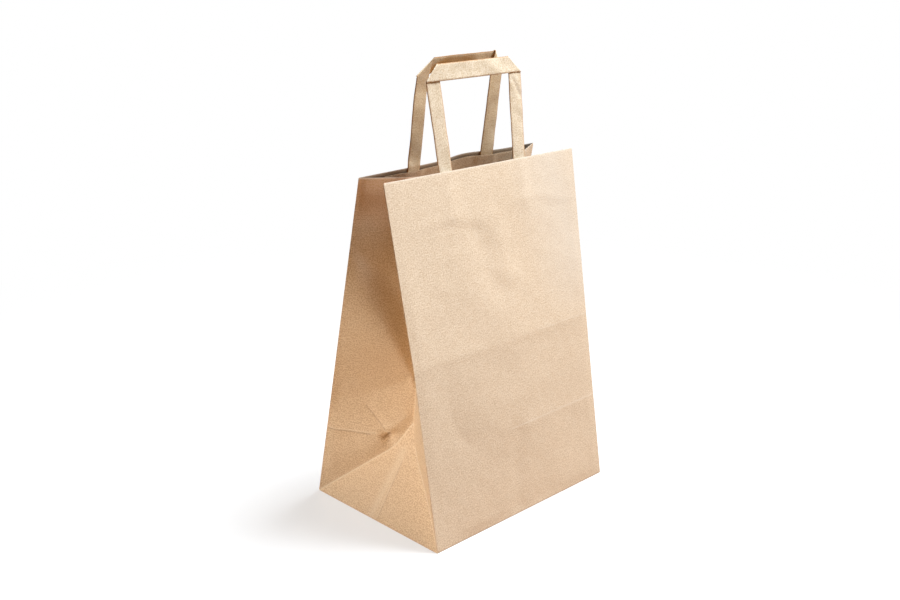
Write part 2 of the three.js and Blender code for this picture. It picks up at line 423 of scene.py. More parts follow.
def distance_to_line(place, line):
    """The distance from a place to a line of points."""
    nearest = math.inf
    for start, end in zip(line, line[1:]):
        run_x = end[0] - start[0]
        run_y = end[1] - start[1]
        share = (place[0] - start[0]) * run_x + (place[1] - start[1]) * run_y
        share = min(1, max(0, share / (run_x ** 2 + run_y ** 2)))
        gap = math.hypot(place[0] - start[0] - share * run_x, place[1] - start[1] - share * run_y)
        nearest = min(nearest, gap)
    return nearest


def mark_height(place, mark):
    """How far one mark makes the paper stand out at a place, in mm."""
    kind, line, width, height = mark
    gap = distance_to_line(place, line) / width
    return height * math.exp(-gap if kind == SHARP else -gap * gap)


def relief(place, marks, fold_gap, seed):
    """How far the paper stands out at a place on its panel, in metres. It is none at the folds."""
    height = 0
    for length, size in ((WAVE_LENGTH, WAVE_HEIGHT), (RIPPLE_LENGTH, RIPPLE_HEIGHT)):
        height += size * noise.noise(Vector((place[0] / length, place[1] / length, seed)))
    height += sum(mark_height(place, mark) for mark in marks)
    return height * MM * eased(fold_gap / FADE)


print("Highest front mark in mm:", max(mark[3] for mark in FRONT_MARKS))

# %% [markdown]
# An open bag's sides have paper to spare. Each half of a side bends outwards along a line that slants
# from the crease at the bottom to the upright fold at the top, and the paper rises to that line like a
# low roof with a rounded ridge. The left side's back half has the most slack. A cloth modifier could
# find such a bend, but not hold it where the picture shows it.

# %% Slack in the sides
# The lowest and highest point of a side half's bend, and how far it stands out, in mm
LEFT_BACK_BEND = (120, 258, 25)
GUSSET_BEND = (140, 252, 8)
BEND_ROUNDING = 0.8
# A bend's upper end slants down towards the crease, and it fades in over this many mm at both ends
BEND_SLANT = 0.75
BEND_ONSET = 66
# Above 1 the bend line bows away from the straight line between its ends
BEND_BOW = 1.4


def side_bend(near, height, bend):
    """How far a side half stands out, in metres, at a place in mm from its upright fold and up."""
    low, high, stand_out = bend
    rise = (height - low) / (high - low)
    if not 0 < rise < 1:
        return 0
    side = HALF_DEPTH / MM
    apex = side * (1 - rise ** BEND_BOW)
    slopes = (near / apex, (side - near) / (side - apex))
    gap = max(BEND_ROUNDING - abs(slopes[0] - slopes[1]), 0) / BEND_ROUNDING
    roof = min(slopes) - gap * gap * BEND_ROUNDING / 4
    for end_gap in (height - low, high - BEND_SLANT * near - height):
        stand_out *= eased(end_gap / BEND_ONSET)
    return stand_out * MM * max(roof, 0)


print("Slack of the left back half in mm:", LEFT_BACK_BEND[2])

# %% [markdown]
# ## Folding the sheet
# A point of the front or back panel goes to its place between the folds, and then outwards by the
# relief. Behind the rim lie the legs and the patch, so a dent can't go inwards there. Their paste has
# drawn the panel into fine level ripples.

# %% Panels in their folded place
NUDGE = 0.5 * MM
# Above this height, in mm, the patch and the legs lie behind a panel
PATCH_FOOT = 269
PATCH_FADE = 6
# Ripples in mm: along the rim, up the panel, and how high
PASTE_RIPPLE_LENGTH = 45
PASTE_RIPPLE_WIDTH = 5
PASTE_RIPPLE_HEIGHT = 0.07


def outward(place_at, across, height, across_end, height_end, flip):
    """The outward direction of a folded surface, from two short steps on it."""
    step_across = NUDGE if across + NUDGE <= across_end else -NUDGE
    step_height = NUDGE if height + NUDGE <= height_end else -NUDGE
    here = place_at(across, height)
    along = (place_at(across + step_across, height) - here) / step_across
    up = (place_at(across, height + step_height) - here) / step_height
    return along.cross(up).normalized() * flip


def folded_panel(co, left, right, marks, bulges, flip, seed):
    """A point of the front or back panel in its folded place."""
    across = co.x - left_edge

    def place_at(along, height):
        return place_on_panel(left, right, along / BAG_WIDTH, height)

    place = (across / MM, co.z / MM)
    fold_gap = min(across, BAG_WIDTH - across, co.z) / MM
    direction = outward(place_at, across, co.z, BAG_WIDTH, PANEL_LENGTH, flip)
    stand_out = relief(place, marks, fold_gap, seed)
    if stand_out < 0:
        stand_out *= min(1, max(0, (PATCH_FOOT - place[1]) / PATCH_FADE))
    stand_out += sum(mark_height(place, bulge) for bulge in bulges) * MM
    if place[1] > PATCH_FOOT:
        ripple_place = (place[0] / PASTE_RIPPLE_LENGTH, place[1] / PASTE_RIPPLE_WIDTH, seed)
        stand_out += PASTE_RIPPLE_HEIGHT * MM * (1 + noise.noise(Vector(ripple_place)))
    return place_at(across, co.z) + direction * stand_out


print("Pasted part of a panel in mm:", round(PANEL_LENGTH / MM - PATCH_FOOT, 1))

# %% [markdown]
# A point of a side moves in the same way, with the marks and the slack of its half. On the real bag the
# tip of the base triangle is drawn up into the middle crease, and the front diagonal bows towards the
# front panel. Both are soft pulls that fade with the distance.

# %% Sides in their folded place
TIP_PULL = 13 * MM
TIP_SPREAD = 13 * MM
DIAGONAL_BOW = 3 * MM
BOW_SPREAD = 12 * MM


def folded_gusset(co, front, back, crease, halves, flip, seed):
    """A point of a side in its folded place. Each half has its marks and its bend, the front one first."""
    from_front = co.y + HALF_DEPTH
    near = min(from_front, BAG_DEPTH - from_front)
    marks, bend = halves[0] if from_front <= HALF_DEPTH else halves[1]
    end = HALF_DEPTH if from_front < HALF_DEPTH else BAG_DEPTH

    def place_at(along, height):
        return place_on_gusset(front, back, crease, along, height)

    inside_triangle = co.z < near
    diagonal_gap = abs(co.z - near) / math.sqrt(2)
    crease_gap = HALF_DEPTH - near if co.z > LOWER_FOLD else diagonal_gap
    fold_gap = min(near, co.z, crease_gap) / MM
    height_end = near if inside_triangle else PANEL_LENGTH
    direction = outward(place_at, from_front, co.z, end, height_end, flip)
    upwards = (crease[1] - crease[0]).normalized()
    tip_gap = math.hypot(HALF_DEPTH - near, co.z - LOWER_FOLD) / TIP_SPREAD
    tip_rise = upwards * TIP_PULL * math.exp(-tip_gap * tip_gap)
    bow = Vector((0, 0, 0))
    if from_front < HALF_DEPTH and co.z < LOWER_FOLD:
        bow.y = -DIAGONAL_BOW * math.sin(math.pi * near / HALF_DEPTH)
        bow.y *= math.exp(-(diagonal_gap / BOW_SPREAD) ** 2)
    place = (near / MM, co.z / MM)
    stand_out = relief(place, TRIANGLE_MARKS if inside_triangle else marks, fold_gap, seed)
    stand_out += side_bend(*place, bend)
    return place_at(from_front, co.z) + direction * stand_out + tip_rise + bow


LEFT_HALVES = ((GUSSET_MARKS, GUSSET_BEND), (LEFT_BACK_MARKS, LEFT_BACK_BEND))
RIGHT_HALVES = ((GUSSET_MARKS, GUSSET_BEND), (GUSSET_MARKS, GUSSET_BEND))
print("Pull at the base triangle's tip in mm:", round(TIP_PULL / MM, 1))

# %% [markdown]
# Handled folds wear, and the folds also carry painted light: a rim or a ridge is rubbed pale and given a
# painted highlight, and the base, the back folds and the low part of the front folds get a line of painted
# shade. The box still has square edges, so this is the moment to find the folds. Each point of a fold
# keeps its wear and painted light in an attribute, which the material reads later. A hand-painted mask
# would do the same.

# %% Worn folds
# Rubbed pale with a painted highlight above zero, painted shade below it
RIM_RUB_AND_HIGHLIGHT = 0.9
DIAGONAL_RUB_AND_HIGHLIGHT = 0.9
CREASE_RUB_AND_HIGHLIGHT = 0.5
FRONT_RUB_AND_HIGHLIGHT = 0.3
# The low part of the front folds, the back folds and the base get a thin line of painted shade
FRONT_LOW_SHADE = -0.6
BACK_FOLD_SHADE = -0.7
BASE_EDGE_SHADE = -0.8


def fold_wear_and_light(edge):
    """How a box edge of the sheet's main folds is drawn: rubbed pale with a painted highlight above
    zero, painted shade below it, or none.
    """
    if not edge.is_manifold:
        return None
    first, second = [vert.co for vert in edge.verts]
    lowest = min(first.z, second.z)
    if edge.link_faces[0].normal.dot(edge.link_faces[1].normal) < ALIGNED:
        if max(first.z, second.z) < TOUCH:
            return BASE_EDGE_SHADE
        if first.y > 0:
            return BACK_FOLD_SHADE
        return FRONT_RUB_AND_HIGHLIGHT if lowest > LOWER_FOLD - TOUCH else FRONT_LOW_SHADE
    if min(abs(first.x), abs(second.x)) < BAG_WIDTH / 2 - TOUCH:
        return None
    gaps = [abs(HALF_DEPTH - abs(end.y) - end.z) for end in (first, second)]
    if max(gaps) < TOUCH:
        return DIAGONAL_RUB_AND_HIGHLIGHT
    on_middle = max(abs(first.y), abs(second.y)) < TOUCH
    return CREASE_RUB_AND_HIGHLIGHT if on_middle and lowest > LOWER_FOLD - TOUCH else None


edge_wear_and_light = sheet.verts.layers.float.new("edge_wear_and_light")
fold_edges = []
for edge in sheet.edges:
    wear = fold_wear_and_light(edge)
    if wear is not None:
        fold_edges.append(edge)
        for vert in edge.verts:
            vert[edge_wear_and_light] = wear
for vert in sheet.verts:
    if vert.is_boundary:
        vert[edge_wear_and_light] = RIM_RUB_AND_HIGHLIGHT
print("Fold edges:", len(fold_edges))

# %% [markdown]
# Now every point of the box goes to its folded place. All places are worked out before the first point
# moves. Each panel and side has its own seed, so that no two have the same waves.

# %% Fold every point
FRONT_SEED = 1.7
BACK_SEED = 5.3
LEFT_SEED = 9.1
RIGHT_SEED = 13.9


def folded(co):
    """The folded place of a box point."""
    if co.z < TOUCH:
        return co.copy()
    if co.y + HALF_DEPTH < TOUCH:
        return folded_panel(co, front_left, front_right, FRONT_MARKS, [], 1, FRONT_SEED)
    if HALF_DEPTH - co.y < TOUCH:
        return folded_panel(co, back_left, back_right, BACK_MARKS, BACK_BULGES, -1, BACK_SEED)
    if co.x < 0:
        return folded_gusset(co, front_left, back_left, left_crease, LEFT_HALVES, -1, LEFT_SEED)
    return folded_gusset(co, front_right, back_right, right_crease, RIGHT_HALVES, 1, RIGHT_SEED)


folded_places = [folded(vert.co) for vert in sheet.verts]
for vert, place in zip(sheet.verts, folded_places):
    vert.co = place
print("Highest point of the folded sheet in mm:", round(max(place.z for place in folded_places) / MM, 1))

# %% [markdown]
# A paper fold is never a knife edge: a bevel of less than half a millimetre lets it catch the light. The
# Solidify modifier then gives the sheet its thickness, on the inner side, so the outside keeps its size.
# It also marks the inner faces for the material. Weighted normals keep the flats between folds flat.

# %% Round the folds and make the body
PAPER_THICKNESS = 0.15 * MM
FOLD_ROUNDING = 0.45 * MM
bmesh.ops.bevel(
    sheet,
    geom=fold_edges,
    offset=FOLD_ROUNDING,
    segments=2,
    profile=0.5,
    affect="EDGES",
    material=-1,
    clamp_overlap=True,
)


def finished_piece(name, bm, thickness):
    """Turns a sheet into an object with a thickness laid on its inner side and smooth shading."""
    bm.normal_update()
    mesh = bpy.data.meshes.new(name)
    bm.to_mesh(mesh)
    bm.free()
    mesh.shade_smooth()
    piece = bpy.data.objects.new(name, mesh)
    bpy.context.scene.collection.objects.link(piece)
    solid = piece.modifiers.new("thickness", "SOLIDIFY")
    solid.thickness = thickness
    solid.offset = -1
    piece.vertex_groups.new(name="inside")
    solid.shell_vertex_group = "inside"
    weighted = piece.modifiers.new("crisp folds", "WEIGHTED_NORMAL")
    weighted.keep_sharp = True
    print(name, "has", len(mesh.polygons), "faces before its thickness")
    return piece


paper_body = finished_piece("paper_body", sheet, PAPER_THICKNESS)

# %% [markdown]
# ## The handles
# Each handle is one flat strip of several layers. It comes up from inside the panel, folds over at 45
# degrees into the bar, and folds down again. The folds are small loops, not knife edges. The two handles
# are the same kind of strip with other sizes, so one set of functions makes both.

# %% Handle sizes
STRIP_WIDTH = 14.2 * MM
STRIP_THICKNESS = 0.6 * MM
PASTE_GAP = 0.3 * MM
PATCH_HEIGHT = 42 * MM
PATCH_DROP = 3.5 * MM
PATCH_LOWER_MARGIN = 7 * MM
LEG_STANDOFF = PAPER_THICKNESS + PASTE_GAP + STRIP_THICKNESS
LEG_TUCK = PATCH_DROP + PATCH_HEIGHT - PATCH_LOWER_MARGIN
# Each loop is the height of the strip's fold at its outer end and at its top end, left and then right as
# seen from outside. A narrowed fold starts further in along the bar. A dent is a mark on the strip: its
# places are across the strip and along it, counted back from the strip's end.
FRONT_HANDLE = {
    "lean": math.radians(8.3),
    "leg_spacing": 86 * MM,
    "bar_spacing": 94.4 * MM,
    "height": 88.6 * MM,
    "shift": -0.5 * MM,
    "sway": -0.5 * MM,
    "loops": ((0.9 * MM, 0.8 * MM), (1.3 * MM, 0.9 * MM)),
    "narrowed": (0, 0),
    "dents": [(SOFT, [(9, -104), (3, -97)], 2.6, -0.45), (SOFT, [(4, -112), (10, -98)], 5, 0.2)],
    "seed": 2.3,
}
REAR_HANDLE = {
    "lean": math.radians(4.1),
    "leg_spacing": 95 * MM,
    "bar_spacing": 91.8 * MM,
    "height": 91.8 * MM,
    "shift": 0.3 * MM,
    "sway": -3.9 * MM,
    "loops": ((6.4 * MM, 3 * MM), (1.2 * MM, 0.6 * MM)),
    "narrowed": (-5 * MM, 5.5 * MM),
    "dents": [
        (SOFT, [(0, -92), (14, -92)], 15, 0.8),
        (SOFT, [(0, -42), (14, -42)], 8, 0.6),
        (SOFT, [(0, -139), (0, -147)], 6, -1.6),
        (SOFT, [(0, -151), (0, -174)], 11, -3),
    ],
    "seed": 5.7,
}
print("A leg is pasted in over mm:", round(LEG_TUCK / MM, 1))

# %% [markdown]
# Legs and patches lie on the inside of a panel, so their places are measured along the panel's rim, down
# from it and inwards. Where the back rim bulges, they have to bulge with it. A Shrinkwrap modifier could
# press them on, but it would also press the free part of the strip.


# %% Places inside a panel
def panel_frame(left, right, bulges):
    """A panel's folds, left and right as seen from outside, its rim and its bulges."""
    rim = right[RIM] - left[RIM]
    return {"left": left, "right": right, "along": rim.normalized(), "rim": rim.length, "bulges": bulges}


def place_inside(panel, distance, depth, standoff):
    """A place along the rim, below it and inside the sheet."""
    share = distance / panel["rim"]
    height = 1 - depth / (PANEL_LENGTH - UPPER_FOLD)
    low = panel["left"][UPPER].lerp(panel["right"][UPPER], share)
    high = panel["left"][RIM].lerp(panel["right"][RIM], share)
    out = panel["along"].cross(high - low).normalized()
    place = low.lerp(high, height)
    across = (place.x - left_edge) / MM
    bulge = sum(mark_height((across, (PANEL_LENGTH - depth) / MM), mark) for mark in panel["bulges"])
    return place + out * (bulge * MM - standoff)


front_panel = panel_frame(front_left, front_right, [])
back_panel = panel_frame(back_right, back_left, BACK_BULGES)
print("Front rim in mm:", round(front_panel["rim"] / MM, 1))

# %% [markdown]
# A strip is a row of sections, and each section is the two ends of a line across it. Behind the panel
# the sections follow the panel. In a fold they go round half a turn, so the paper lies back over itself.

# %% Rows of a leg and of a fold
TUCK_ROWS = 8
LOOP_STEPS = 8


def tucked_rows(panel, leg_ends):
    """The sections of a leg below the rim, where it follows the panel."""
    rows = []
    for row in range(TUCK_ROWS + 1):
        depth = LEG_TUCK * (1 - row / TUCK_ROWS)
        rows.append([place_inside(panel, end, depth, LEG_STANDOFF) for end in leg_ends])
    return rows


def fold_rows(corners, loops, fold_out, out):
    """The sections of a fold: half a turn at each end, as high as that end's loop."""
    rows = []
    for step in range(LOOP_STEPS + 1):
        angle = math.pi * step / LOOP_STEPS
        ends = []
        for corner, loop in zip(corners, loops):
            back = fold_out * (loop / 2) * (math.sin(angle) - 1)
            over = out * (loop / 2) * (1 - math.cos(angle))
            ends.append(corner + back + over)
        rows.append(ends)
    return rows


print("Sections in a fold:", LOOP_STEPS + 1)

# %% [markdown]
# The sections follow the paper on its way: up behind the panel, up the leg, over the fold and along the
# bar. Both halves are made from the foot to the bar, and the second is then turned round. The rear
# strip's folds are not quite at 45 degrees, so its legs keep their width to just below the fold.

# %% Sections of a strip
FOLD_CLEARANCE = 0.8 * MM
# Shares of the way from a leg's top to its fold
FLARE_ROWS = (0, 0.5, 0.8, 0.94)


def handle_sections(panel, handle):
    """The strip's sections in order: each is its two ends, first the strip's outer edge."""
    upright = Vector((0, 0, 1))
    along = panel["along"]
    inward = upright.cross(along).normalized()
    up = upright * math.cos(handle["lean"]) + inward * math.sin(handle["lean"])
    up = (up - along * along.dot(up)).normalized()
    leg_middle = panel["rim"] / 2 + handle["shift"]
    bar_middle = leg_middle + handle["sway"]
    shoulder = handle["height"] - STRIP_WIDTH
    flat_panel = {**panel, "bulges": []}

    def free(distance, rise):
        return place_inside(flat_panel, distance, 0, LEG_STANDOFF) + up * rise

    halves = []
    for side, loops, narrowed in zip((-1, 1), handle["loops"], handle["narrowed"]):
        leg_outer = leg_middle + side * (handle["leg_spacing"] + STRIP_WIDTH) / 2
        leg_inner = leg_outer - side * STRIP_WIDTH
        bar_outer = bar_middle + side * (handle["bar_spacing"] + STRIP_WIDTH) / 2
        bar_inner = bar_outer - side * (STRIP_WIDTH + narrowed)
        corners = [free(bar_outer, shoulder), free(bar_inner, handle["height"])]
        fold_out = (along * side + up).normalized()
        sections = tucked_rows(panel, (leg_outer, leg_inner))
        if narrowed:
            rise = shoulder - loops[0] / 2 - FOLD_CLEARANCE
            outer_there = leg_outer + (bar_outer - leg_outer) * rise / shoulder
            leg_top = [free(outer_there, rise), free(outer_there - side * STRIP_WIDTH, rise)]
            starts = [corner - fold_out * loop / 2 for corner, loop in zip(corners, loops)]
            for share in FLARE_ROWS:
                sections.append([low.lerp(high, share) for low, high in zip(leg_top, starts)])
        sections += fold_rows(corners, loops, fold_out, along.cross(up))
        halves.append(sections)
    left, right = halves
    return left + right[::-1]


front_sections = handle_sections(front_panel, FRONT_HANDLE)
rear_sections = handle_sections(back_panel, REAR_HANDLE)
print("Sections of the front and rear strip:", len(front_sections), len(rear_sections))

# %% [markdown]
# The strip grows by extruding its end edge from section to section, as one would press E in Edit Mode.
# Its map counts across the strip and along it, so grain and smudges turn with the folds. A curve with a
# flat profile would twist at the 45 degree folds.


# %% Grow a strip from section to section
def joined_end(old, edge):
    """The end of a fresh edge that an extrusion has joined to an old end."""
    neighbours = [link.other_vert(old) for link in old.link_edges]
    return next(vert for vert in neighbours if vert in edge.verts)


def extruded_strip(sections, inner_side):
    """A strip extruded from its first section to its last, with its map, and its length in metres."""
    bm = bmesh.new()
    strip_map = bm.loops.layers.uv.new("sheet")
    ends = [bm.verts.new(place) for place in sections[0]]
    edge = bm.edges.new(ends)
    length = 0
    map_places = {ends[0]: (0, 0), ends[1]: (STRIP_WIDTH, 0)}
    for before, section in zip(sections, sections[1:]):
        grown = bmesh.ops.extrude_edge_only(bm, edges=[edge])["geom"]
        edge = next(item for item in grown if isinstance(item, bmesh.types.BMEdge))
        ends = [joined_end(old, edge) for old in ends]
        length += ((section[0] + section[1]) / 2 - (before[0] + before[1]) / 2).length
        for vert, place, across in zip(ends, section, (0, STRIP_WIDTH)):
            vert.co = place
            map_places[vert] = (across, length)
    bm.normal_update()
    first_face = min(bm.faces, key=lambda face: face.calc_center_median().z)
    if first_face.normal.dot(inner_side) < 0:
        bmesh.ops.reverse_faces(bm, faces=bm.faces)
    for face in bm.faces:
        for loop in face.loops:
            loop[strip_map].uv = map_places[loop.vert]
    print("Strip length in mm:", round(length / MM, 1))
    return bm, length


TOWARDS_BACK = Vector((0, 1, 0))
TOWARDS_FRONT = Vector((0, -1, 0))
front_strip, front_length = extruded_strip(front_sections, TOWARDS_BACK)
rear_strip, rear_length = extruded_strip(rear_sections, TOWARDS_FRONT)

# %% [markdown]
# Only points can move, so the strip is divided finely before it gets its waves: across all its sections,
# and along the legs and the bar, where two sections lie far apart.

# %% Divide the strips
STRIP_GRID = 1.8 * MM
LONG_EDGE = 2 * STRIP_WIDTH
LONG_CUTS = round(4 * STRIP_WIDTH / STRIP_GRID)


def divide_strip(bm):
    """Divides a strip's sections across it, and its long faces along it."""
    strip_map = bm.loops.layers.uv["sheet"]
    across_edges = []
    for edge in bm.edges:
        first, second = [vert.link_loops[0][strip_map].uv.x for vert in edge.verts]
        if first != second:
            across_edges.append(edge)
    cuts = round(STRIP_WIDTH / STRIP_GRID) - 1
    bmesh.ops.subdivide_edges(bm, edges=across_edges, cuts=cuts, use_grid_fill=True)
    long_edges = [edge for edge in bm.edges if edge.calc_length() > LONG_EDGE]
    bmesh.ops.subdivide_edges(bm, edges=long_edges, cuts=LONG_CUTS, use_grid_fill=True)


divide_strip(front_strip)
divide_strip(rear_strip)
print("Strip faces:", len(front_strip.faces), len(rear_strip.faces))

# %% [markdown]
# A strip that has been held is wavy and dented, and its edges get a line of painted shade. Below the rim
# the patch holds it flat, so its waves start above. A Displace modifier would wave it too, but also where it
# is pasted.

# %% Wave and dent the strips
# In mm: the height and length of the waves, and the length over which they start
STRIP_WAVE = 0.6
STRIP_WAVE_LENGTH = 17
STRIP_FADE = 8
# Painted shade along a strip's edges, at its darkest
STRIP_EDGE_SHADE = -1


def wave_strip(bm, length, handle):
    """Draws painted shade along a strip's edges, and waves and dents it where it is free."""
    edge_wear_and_light = bm.verts.layers.float.new("edge_wear_and_light")
    strip_map = bm.loops.layers.uv["sheet"]
    bm.normal_update()
    end = length / MM
    moves = {}
    for vert in bm.verts:
        vert[edge_wear_and_light] = STRIP_EDGE_SHADE if vert.is_boundary else 0
        across, along = vert.link_loops[0][strip_map].uv / MM
        wave = noise.noise(Vector((across / STRIP_WAVE_LENGTH, along / STRIP_WAVE_LENGTH, handle["seed"])))
        dent = sum(mark_height((across, along - end), mark) for mark in handle["dents"])
        above_rim = min(along, end - along) - LEG_TUCK / MM
        loose = min(1, max(0, above_rim / STRIP_FADE))
        moves[vert] = vert.normal * (wave * STRIP_WAVE - dent) * loose * MM
    for vert, move in moves.items():
        vert.co += move


wave_strip(front_strip, front_length, FRONT_HANDLE)
wave_strip(rear_strip, rear_length, REAR_HANDLE)
front_handle = finished_piece("front_strip_handle", front_strip, STRIP_THICKNESS)
rear_handle = finished_piece("rear_strip_handle", rear_strip, STRIP_THICKNESS)

# %% [markdown]
# ## The patches
# A patch is a sheet pasted over the legs inside each panel. It starts as an even grid, and its points
# move to the panel, a little higher where a leg lies under it. A Boolean or a simulation isn't needed:
# the height over a leg is known.

# %% Patches
PATCH_GRID = 2 * MM
PATCH_THICKNESS = 0.2 * MM
PATCH_SIDE_MARGIN = 26 * MM
LEG_MARGIN = 1.5 * MM
RAMP = 6 * MM


def patch_standoff(distance, handle):
    """How far a patch's inner face stands from the panel, at a distance from the handle's middle."""
    low = PAPER_THICKNESS + PASTE_GAP + PATCH_THICKNESS
    high = LEG_STANDOFF + PASTE_GAP + PATCH_THICKNESS
    from_leg = abs(abs(distance) - handle["leg_spacing"] / 2) - STRIP_WIDTH / 2 - LEG_MARGIN
    return low + (high - low) * eased(1 - from_leg / RAMP)


def patch_sheet(panel, handle, inner_side):
    """A patch on a panel's inside."""
    width = handle["leg_spacing"] + STRIP_WIDTH + 2 * PATCH_SIDE_MARGIN
    middle = panel["rim"] / 2 + handle["shift"]
    bm = bmesh.new()
    columns = round(width / PATCH_GRID)
    rows = round(PATCH_HEIGHT / PATCH_GRID)
    bmesh.ops.create_grid(bm, x_segments=columns, y_segments=rows, size=0.5)
    patch_map = bm.loops.layers.uv.new("sheet")
    for face in bm.faces:
        for loop in face.loops:
            loop[patch_map].uv = (loop.vert.co.x * width, loop.vert.co.y * PATCH_HEIGHT)
    for vert in bm.verts:
        distance = vert.co.x * width
        depth = PATCH_DROP + (0.5 - vert.co.y) * PATCH_HEIGHT
        vert.co = place_inside(panel, middle + distance, depth, patch_standoff(distance, handle))
    bm.normal_update()
    bm.faces.ensure_lookup_table()
    if bm.faces[0].normal.dot(inner_side) < 0:
        bmesh.ops.reverse_faces(bm, faces=bm.faces)
    return bm


front_patch_sheet = patch_sheet(front_panel, FRONT_HANDLE, TOWARDS_BACK)
rear_patch_sheet = patch_sheet(back_panel, REAR_HANDLE, TOWARDS_FRONT)
front_patch = finished_piece("front_patch", front_patch_sheet, PATCH_THICKNESS)
rear_patch = finished_piece("rear_patch", rear_patch_sheet, PATCH_THICKNESS)

# %% [markdown]
# ## Kraft paper
# Kraft is unbleached wood pulp: warm tan, matte, with a mottle of about 7 mm, short fibres and a few
# dark specks of bark. Materials are built from nodes. One function turns a hex colour into the
# linear values that Blender works with, and one adds a node with its settings and links.


# %% Colours and nodes
def linear(hex_colour):
    """An sRGB hex colour as linear RGBA."""
    channels = [int(hex_colour[i:i + 2], 16) / 255 for i in (1, 3, 5)]
    return [c / 12.92 if c <= 0.04045 else ((c + 0.055) / 1.055) ** 2.4 for c in channels] + [1]


def add_node(tree, kind, settings, links):
    """Adds a node, sets its properties and sockets, and links its inputs."""
    node = tree.nodes.new(kind)
    for name, value in settings.items():
        if hasattr(node, name):
            setattr(node, name, value)
        else:
            node.inputs[int(name) if name.isdigit() else name].default_value = value
    for name, source in links.items():
        tree.links.new(source, node.inputs[int(name) if name.isdigit() else name])
    return node


print("Middle grey is", round(linear("#808080")[0], 3), "in linear light")

# %% [markdown]
# A crease breaks the paper's surface: its ridge is rubbed pale and given a painted highlight, and its
# groove holds dirt and painted shade. The same lines also lay wide bands of painted light. On the map a
# crease is a straight line, so its share is 1 on the line and falls to 0 beside it. Painting an image
# would do too, but lines in millimetres stay sharp at any size.


# %% A crease drawn on the sheet
def crease_line(tree, place, start, end, width):
    """How near a place on the sheet is to a straight crease: 1 on it, 0 beside it. Sizes are in mm."""
    start = Vector((*start, 0)) * MM
    run = Vector((*end, 0)) * MM - start
    direction = run.normalized()
    offset = add_node(
        tree, "ShaderNodeVectorMath", {"operation": "SUBTRACT", "1": start}, {"0": place}
    ).outputs["Vector"]
    along = add_node(
        tree, "ShaderNodeVectorMath", {"operation": "DOT_PRODUCT", "1": direction}, {"0": offset}
    ).outputs["Value"]
    held = add_node(tree, "ShaderNodeClamp", {"Max": run.length}, {"Value": along}).outputs["Result"]
    foot = add_node(
        tree, "ShaderNodeVectorMath", {"operation": "SCALE", "0": direction}, {"Scale": held}
    ).outputs["Vector"]
    gap = add_node(
        tree, "ShaderNodeVectorMath", {"operation": "DISTANCE"}, {"0": offset, "1": foot}
    ).outputs["Value"]
    line = add_node(
        tree, "ShaderNodeMapRange", {"From Min": width * MM, "From Max": 0.0}, {"Value": gap}
    )
    return line.outputs["Result"]


# %% [markdown]
# Creases and bands of painted light lie over each other, so each one mixes its colour over what is there
# already. The painted shade inside the bag shows only there: for it the share is multiplied by a mask.


# %% Lay creases over a colour
def creased(tree, place, colour, creases, where):
    """Draws creases and bands of painted light and shade over a colour. Where is a link that is 1 where
    they show, or None for everywhere.
    """
    for start, end, width, line_colour, line_share in creases:
        line = crease_line(tree, place, start, end, width)
        share = add_node(
            tree, "ShaderNodeMath", {"operation": "MULTIPLY", "1": line_share}, {"0": line}
        ).outputs["Value"]
        if where is not None:
            share = add_node(
                tree, "ShaderNodeMath", {"operation": "MULTIPLY"}, {"0": share, "1": where}
            ).outputs["Value"]
        colour = add_node(
            tree,
            "ShaderNodeMix",
            {"data_type": "RGBA", "7": linear(line_colour)},
            {"0": share, "6": colour},
        ).outputs[2]
    return colour


# %% [markdown]
# The pulp's tone is a sum of noises: a wide mottle, the grain, and two runs of fibres that are stretched
# noise at two angles. The same tone colours the paper and later drives its bump, so pale fibres stand up.

# %% Tone of the pulp
MOTTLE_SIZE = 7 * MM
# Real pulp grain is about 0.3 mm: it is drawn coarser, so that it shows in the render
GRAIN_SIZE = 1.2 * MM
FIBRE_LENGTH = 6 * MM
FIBRE_WIDTH = 0.8 * MM
FIBRE_SHARE = 0.2
# Turns of the two runs of fibres, in radians
FIBRE_TURNS = (0.35, 1.9)


def pulp_tone(tree, place, mottle_share):
    """The tone of mottle, grain and fibres at a place on the sheet."""
    mottle = add_node(
        tree, "ShaderNodeTexNoise", {"Scale": 1 / MOTTLE_SIZE, "Detail": 1.0}, {"Vector": place}
    )
    grain = add_node(
        tree, "ShaderNodeTexNoise", {"Scale": 1 / GRAIN_SIZE, "Detail": 1.0}, {"Vector": place}
    )
    tone = add_node(
        tree,
        "ShaderNodeMath",
        {"operation": "MULTIPLY_ADD", "1": mottle_share},
        {"0": mottle.outputs["Fac"], "2": grain.outputs["Fac"]},
    ).outputs["Value"]
    for turn_angle in FIBRE_TURNS:
        turned = add_node(
            tree,
            "ShaderNodeMapping",
            {"Rotation": (0, 0, turn_angle), "Scale": (1 / FIBRE_LENGTH, 1 / FIBRE_WIDTH, 1)},
            {"Vector": place},
        )
        fibre = add_node(
            tree, "ShaderNodeTexNoise", {"Scale": 1.0, "Detail": 1.0}, {"Vector": turned.outputs["Vector"]}
        )
        tone = add_node(
            tree,
            "ShaderNodeMath",
            {"operation": "MULTIPLY_ADD", "1": FIBRE_SHARE},
            {"0": fibre.outputs["Fac"], "2": tone},
        ).outputs["Value"]
    return tone


print("Grain is drawn", round(GRAIN_SIZE / MM, 1), "mm wide")

# %% [markdown]
# The tone mixes a deep and a pale paper colour. The left side gets its light along the paper, so its
# grain shows more: there a smaller reach of tones covers the whole way from deep to pale. Specks of bark
# are the middles of Voronoi cells.

# %% Colour of the outside
# The middle tone of the grain and fibres alone, and how far it goes to each side
TONE_MIDDLE = 0.7
TONE_REACH = 0.21
SIDE_TONE_REACH = 0.13
SPECK_SPACING = 8 * MM
SPECK_SIZE = 0.6 * MM
SPECK_SHARE = 0.6
SPECK_COLOUR = "#9A744E"


